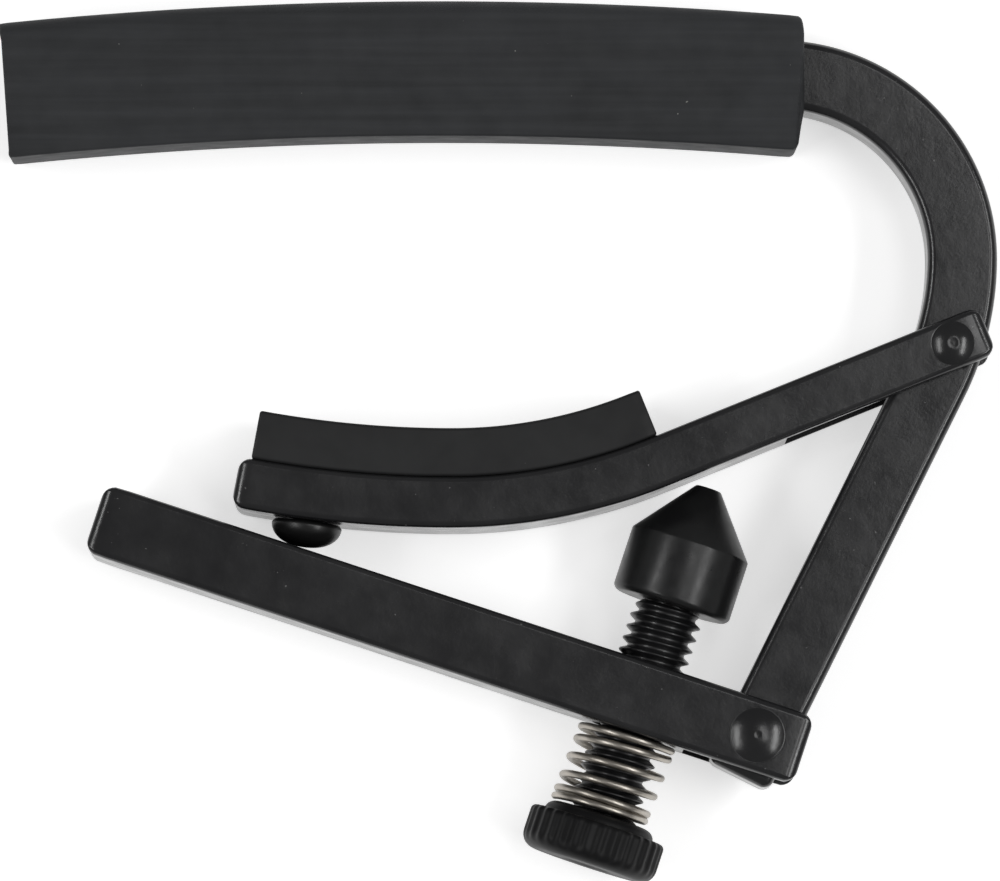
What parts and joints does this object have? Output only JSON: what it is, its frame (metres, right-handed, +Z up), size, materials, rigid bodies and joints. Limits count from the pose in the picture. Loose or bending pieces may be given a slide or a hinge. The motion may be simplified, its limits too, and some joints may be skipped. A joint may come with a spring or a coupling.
{
  "type": "guitar capo",
  "caption": "Lever-operated guitar capo: a rubber-sleeved fret bar and a padded clamp arm, closed by a lever with an adjusting screw.",
  "frame": {"origin": "middle of the capo's outline, on the surface that it lies on", "axes": "+X along the fret bar towards the bend, +Y from the lever towards the fret bar, +Z up through the capo's depth"},
  "size_m": [0.0824, 0.0724, 0.0115],
  "materials": {
    "black_metal": "satin to gloss black plating over steel, with softly rounded edges",
    "rivet_metal": "gloss black, smooth domed heads",
    "grey_rubber": "matt dark slate grey, faint lengthwise extrusion marks",
    "black_rubber": "matt very dark grey",
    "bumper_rubber": "slightly shiny black",
    "screw_steel": "black oxide thread",
    "cap_plastic": "turned black acetal, soft sheen",
    "knob_metal": "gloss black, straight knurl",
    "spring_steel": "bright drawn stainless wire"
  },
  "bodies": {
    "frame_body": {"frame": "black_metal", "fret_sleeve": "grey_rubber", "arm_rivet": "rivet_metal", "lever_rivet": "rivet_metal"},
    "arm_body": {"neck_arm": "black_metal", "neck_pad": "black_rubber", "arm_bumper": "bumper_rubber"},
    "lever_body": {"lever": "black_metal", "screw_spring": "spring_steel"},
    "cap_body": {"tip_cap": "cap_plastic"},
    "screw_body": {"adjusting_screw": "screw_steel", "thumb_knob": "knob_metal"}
  },
  "joints": [
    {"name": "lever_pivot", "type": "hinge", "parent": "frame_body", "child": "lever_body", "pos_m": [0.02132, -0.02428, 0.00575], "axis": [0, 0, 1], "range_deg": [0, 150]},
    {"name": "arm_pivot", "type": "hinge", "parent": "frame_body", "child": "arm_body", "pos_m": [0.03738, 0.00793, 0.00575], "axis": [0, 0, 1], "range_deg": [-22, 0]},
    {"name": "screw_travel", "type": "slide", "parent": "lever_body", "child": "cap_body", "axis": [0.3123, 0.95, 0], "range_m": [-0.0045, 0], "deforming": ["screw_spring"]},
    {"name": "screw_turn", "type": "hinge", "parent": "cap_body", "child": "screw_body", "pos_m": [0.01172, -0.02113, 0.00575], "axis": [0.3123, 0.95, 0], "range_deg": [-1620, 0]}
  ],
  "couplings": [
    {"joint": "screw_turn", "follows": "screw_travel", "rad_per_m": 6283.2}
  ]
}
